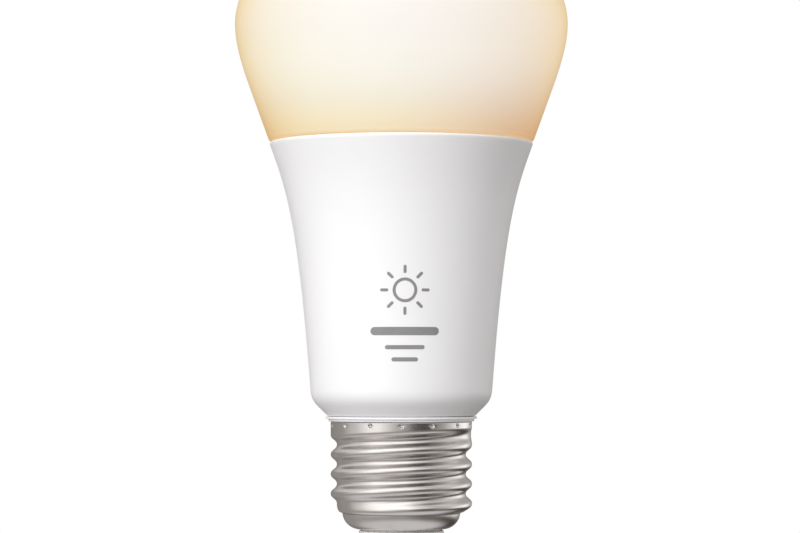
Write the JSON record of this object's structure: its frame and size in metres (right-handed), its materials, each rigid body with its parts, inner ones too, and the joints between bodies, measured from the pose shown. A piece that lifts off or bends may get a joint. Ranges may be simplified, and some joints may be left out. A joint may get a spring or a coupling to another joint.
{
  "type": "smart light bulb",
  "caption": "Screw-in LED smart bulb: opal globe on a flared white housing, nickel screw cap, with driver, radio and LED boards inside.",
  "frame": {"origin": "centre of the flat tip of the cap's centre contact, the lowest point of the bulb", "axes": "+Z along the bulb's axis, from the centre contact to the globe; -Y towards the printed front of the housing; +X to the right of that front"},
  "size_m": [0.062, 0.062, 0.12],
  "materials": {
    "opal_plastic": "opal polycarbonate, satin, glowing warm white",
    "silicone": "translucent white silicone",
    "white_plastic": "white moulded PBT, satin gloss",
    "liner_plastic": "white moulded PBT, satin",
    "nickel_plate": "bright nickel plating on thin brass sheet",
    "insulator": "pale grey glazed insulator",
    "contact_metal": "nickel-plated brass",
    "spun_aluminium": "drawn aluminium sheet",
    "thermal_pad": "filled silicone pad",
    "led_board": "white solder mask on an aluminium board",
    "led_package": "yellow phosphor in a white frame",
    "screw_steel": "zinc-plated steel",
    "fibreglass": "green solder mask on fibreglass laminate",
    "ferrite": "dark sintered ferrite",
    "bobbin_plastic": "black phenolic moulding",
    "winding_tape": "yellow polyester tape",
    "copper_wire": "enamelled copper wire",
    "capacitor_sleeve": "dark heat-shrink sleeve",
    "film_box": "yellow moulded box",
    "resistor_body": "blue-green lacquer",
    "varistor_coat": "blue dipped epoxy",
    "chip_epoxy": "black moulding compound",
    "shield_tin": "tin-plated steel",
    "red_insulation": "red wire insulation",
    "black_insulation": "black wire insulation",
    "bare_wire": "tinned copper wire"
  },
  "bodies": {
    "root": {"diffuser_globe": "opal_plastic", "globe_seal_ring": "silicone", "housing": "white_plastic", "driver_sleeve": "liner_plastic", "cap_shell": "nickel_plate", "cap_insulator": "insulator", "centre_contact": "contact_metal", "contact_rivet": "contact_metal", "heat_spreader": "spun_aluminium", "thermal_pad": "thermal_pad", "led_board": "led_board", "led_01": "led_package", "led_02": "led_package", "led_03": "led_package", "led_04": "led_package", "led_05": "led_package", "led_06": "led_package", "led_07": "led_package", "led_08": "led_package", "led_09": "led_package", "led_10": "led_package", "led_11": "led_package", "led_12": "led_package", "led_13": "led_package", "led_14": "led_package", "led_15": "led_package", "led_16": "led_package", "led_17": "led_package", "led_18": "led_package", "clamp_screw_front": "screw_steel", "clamp_screw_rear": "screw_steel", "driver_board": "fibreglass", "bulk_capacitor": "capacitor_sleeve", "output_capacitor": "capacitor_sleeve", "film_capacitor": "film_box", "fuse_resistor": "resistor_body", "varistor": "varistor_coat", "choke_core": "ferrite", "choke_winding": "copper_wire", "transformer_core_upper": "ferrite", "transformer_core_lower": "ferrite", "transformer_bobbin": "bobbin_plastic", "transformer_winding": "winding_tape", "bridge_rectifier": "chip_epoxy", "controller_chip": "chip_epoxy", "switching_transistor": "chip_epoxy", "radio_board": "fibreglass", "radio_shield": "shield_tin", "radio_header": "bobbin_plastic", "led_wire_positive": "red_insulation", "led_wire_negative": "black_insulation", "contact_lead": "bare_wire", "shell_lead": "bare_wire"}
  },
  "joints": []
}
